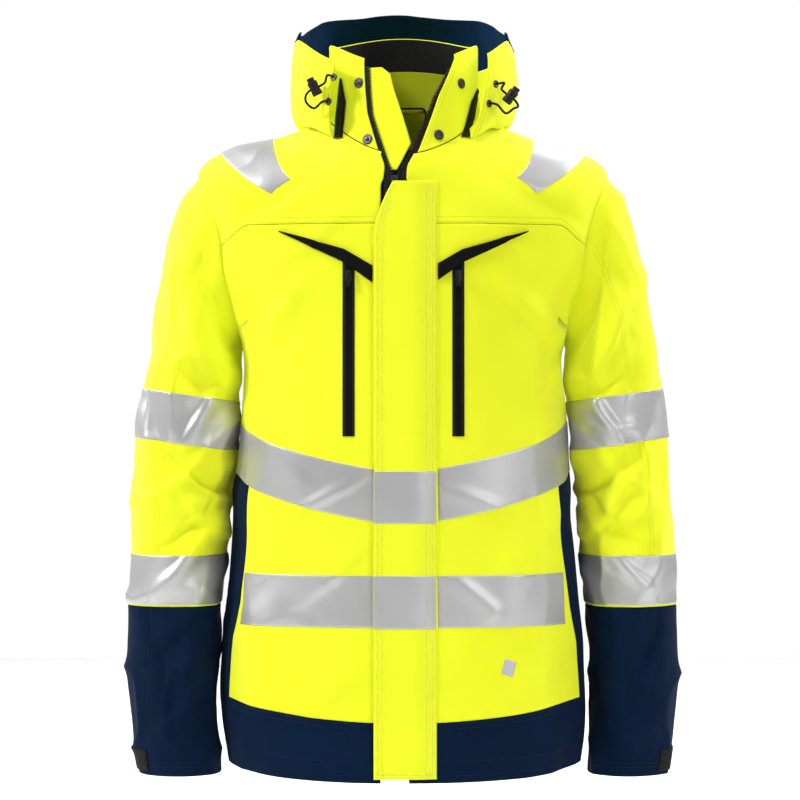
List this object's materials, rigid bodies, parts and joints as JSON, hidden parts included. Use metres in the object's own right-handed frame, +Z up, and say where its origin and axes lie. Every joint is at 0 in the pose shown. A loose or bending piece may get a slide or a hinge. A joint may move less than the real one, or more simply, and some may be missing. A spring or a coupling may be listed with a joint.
{
  "type": "foul weather jacket",
  "caption": "Hooded high-visibility waterproof jacket with storm flap, zipped chest pockets, reflective tape, adjustable cuffs and a drawcord hood, open at the collar.",
  "frame": {"origin": "middle of the underside of the hanger loop's top run, inside the back of the neck, where a coat hook bears", "axes": "+Z up, -Y out of the jacket's front, +X towards the wearer's left"},
  "size_m": [0.6598, 0.3704, 0.933],
  "materials": {
    "hi_vis_yellow": "fluorescent yellow coated polyester, matt, fine plain weave",
    "navy": "dark navy coated polyester, matt, fine plain weave",
    "black_cloth": "black brushed polyester and webbing, matt",
    "dark_mesh": "dark lining mesh, matt",
    "reflective_tape": "silver glass-bead reflective tape, satin",
    "zip_tape": "black water-repellent zip tape and moulded teeth, satin",
    "black_plastic": "moulded black acetal, satin",
    "elastic_cord": "black braided elastic cord",
    "gunmetal": "dark gunmetal plating, semi-gloss"
  },
  "bodies": {
    "root": {"front_panel_left": "hi_vis_yellow", "front_panel_right": "hi_vis_yellow", "yoke_left": "hi_vis_yellow", "yoke_right": "hi_vis_yellow", "back_panel": "hi_vis_yellow", "side_hem_left": "navy", "side_hem_right": "navy", "hem_back": "navy", "collar_shell": "hi_vis_yellow", "collar_lining": "black_cloth", "main_zip_left": "zip_tape", "main_zip_right": "zip_tape", "inner_wind_flap": "hi_vis_yellow", "body_lining": "dark_mesh", "chest_tape": "reflective_tape", "waist_tape_front_left": "reflective_tape", "waist_tape_front_right": "reflective_tape", "waist_tape_back": "reflective_tape", "shoulder_tape_left": "reflective_tape", "shoulder_tape_right": "reflective_tape", "pocket_zip_left": "zip_tape", "pocket_zip_right": "zip_tape", "pocket_welt_left": "black_cloth", "pocket_welt_right": "black_cloth", "collar_snap_stud_upper": "gunmetal", "collar_snap_stud_lower": "gunmetal", "collar_snap_socket_upper": "gunmetal", "collar_snap_socket_lower": "gunmetal", "hood_zip_left": "zip_tape", "hood_zip_right": "zip_tape", "hanger_loop": "black_cloth"},
    "storm_flap": {"storm_flap": "hi_vis_yellow"},
    "main_zip_slider": {"main_zip_slider": "gunmetal"},
    "main_zip_pull": {"main_zip_pull": "gunmetal"},
    "hood": {"hood_shell": "hi_vis_yellow", "hood_crown": "navy", "hood_eyelet_upper_left": "gunmetal", "hood_eyelet_lower_left": "gunmetal", "hood_cord_left": "elastic_cord", "cord_lock_left": "black_plastic", "hood_eyelet_upper_right": "gunmetal", "hood_eyelet_lower_right": "gunmetal", "hood_cord_right": "elastic_cord", "cord_lock_right": "black_plastic"},
    "pocket_slider_left": {"pocket_slider_left": "black_plastic"},
    "pocket_pull_left": {"pocket_pull_left": "black_plastic"},
    "cord_lock_button_left": {"cord_lock_button_left": "black_plastic"},
    "sleeve_left": {"sleeve_left": "hi_vis_yellow", "forearm_left": "navy", "sleeve_tape_upper_left": "reflective_tape", "sleeve_tape_lower_left": "reflective_tape"},
    "cuff_tab_left": {"cuff_tab_left": "black_cloth"},
    "pocket_slider_right": {"pocket_slider_right": "black_plastic"},
    "pocket_pull_right": {"pocket_pull_right": "black_plastic"},
    "cord_lock_button_right": {"cord_lock_button_right": "black_plastic"},
    "sleeve_right": {"sleeve_right": "hi_vis_yellow", "forearm_right": "navy", "sleeve_tape_upper_right": "reflective_tape", "sleeve_tape_lower_right": "reflective_tape"},
    "cuff_tab_right": {"cuff_tab_right": "black_cloth"}
  },
  "joints": [
    {"name": "storm_flap_swing", "type": "hinge", "parent": "root", "child": "storm_flap", "pos_m": [0.0384, -0.20538, -0.432], "axis": [0, 0.0187, 0.9998], "range_deg": [0, 120]},
    {"name": "main_zip_slide", "type": "slide", "parent": "root", "child": "main_zip_slider", "axis": [0, -0.0187, -0.9998], "range_m": [0, 0.66]},
    {"name": "main_zip_pull_swing", "type": "hinge", "parent": "main_zip_slider", "child": "main_zip_pull", "pos_m": [-0.01, -0.19698, -0.10097], "axis": [-1, 0, 0], "range_deg": [0, 10]},
    {"name": "hood_fall", "type": "hinge", "parent": "root", "child": "hood", "pos_m": [0, 0.01862, 0.002], "axis": [1, 0, 0], "range_deg": [-10, 0]},
    {"name": "pocket_zip_slide_left", "type": "slide", "parent": "root", "child": "pocket_slider_left", "axis": [0, -0.0187, -0.9998], "range_m": [0, 0.165]},
    {"name": "pocket_pull_swing_left", "type": "hinge", "parent": "pocket_slider_left", "child": "pocket_pull_left", "pos_m": [0.06358, -0.2018, -0.20995], "axis": [-1, 0, 0], "range_deg": [0, 160]},
    {"name": "sleeve_lift_left", "type": "hinge", "parent": "root", "child": "sleeve_left", "pos_m": [0.24, -0.06638, -0.082], "axis": [0, -1, 0], "range_deg": [0, 60]},
    {"name": "cuff_tab_peel_left", "type": "hinge", "parent": "sleeve_left", "child": "cuff_tab_left", "pos_m": [0.3085, -0.0571, -0.78], "axis": [0, 0, 1], "range_deg": [0, 90]},
    {"name": "pocket_zip_slide_right", "type": "slide", "parent": "root", "child": "pocket_slider_right", "axis": [0, -0.0187, -0.9998], "range_m": [0, 0.165]},
    {"name": "pocket_pull_swing_right", "type": "hinge", "parent": "pocket_slider_right", "child": "pocket_pull_right", "pos_m": [-0.06358, -0.2018, -0.20995], "axis": [-1, 0, 0], "range_deg": [0, 160]},
    {"name": "sleeve_lift_right", "type": "hinge", "parent": "root", "child": "sleeve_right", "pos_m": [-0.24, -0.06638, -0.082], "axis": [0, 1, 0], "range_deg": [0, 60]},
    {"name": "cuff_tab_peel_right", "type": "hinge", "parent": "sleeve_right", "child": "cuff_tab_right", "pos_m": [-0.3085, -0.0571, -0.78], "axis": [0, 0, -1], "range_deg": [0, 90]},
    {"name": "cord_lock_press_left", "type": "slide", "parent": "hood", "child": "cord_lock_button_left", "axis": [-0.6191, 0.0999, -0.7789], "range_m": [0, 0.003], "stiffness_N_per_m": 400},
    {"name": "cord_lock_press_right", "type": "slide", "parent": "hood", "child": "cord_lock_button_right", "axis": [0.453, 0.1007, -0.8858], "range_m": [0, 0.003], "stiffness_N_per_m": 400}
  ]
}
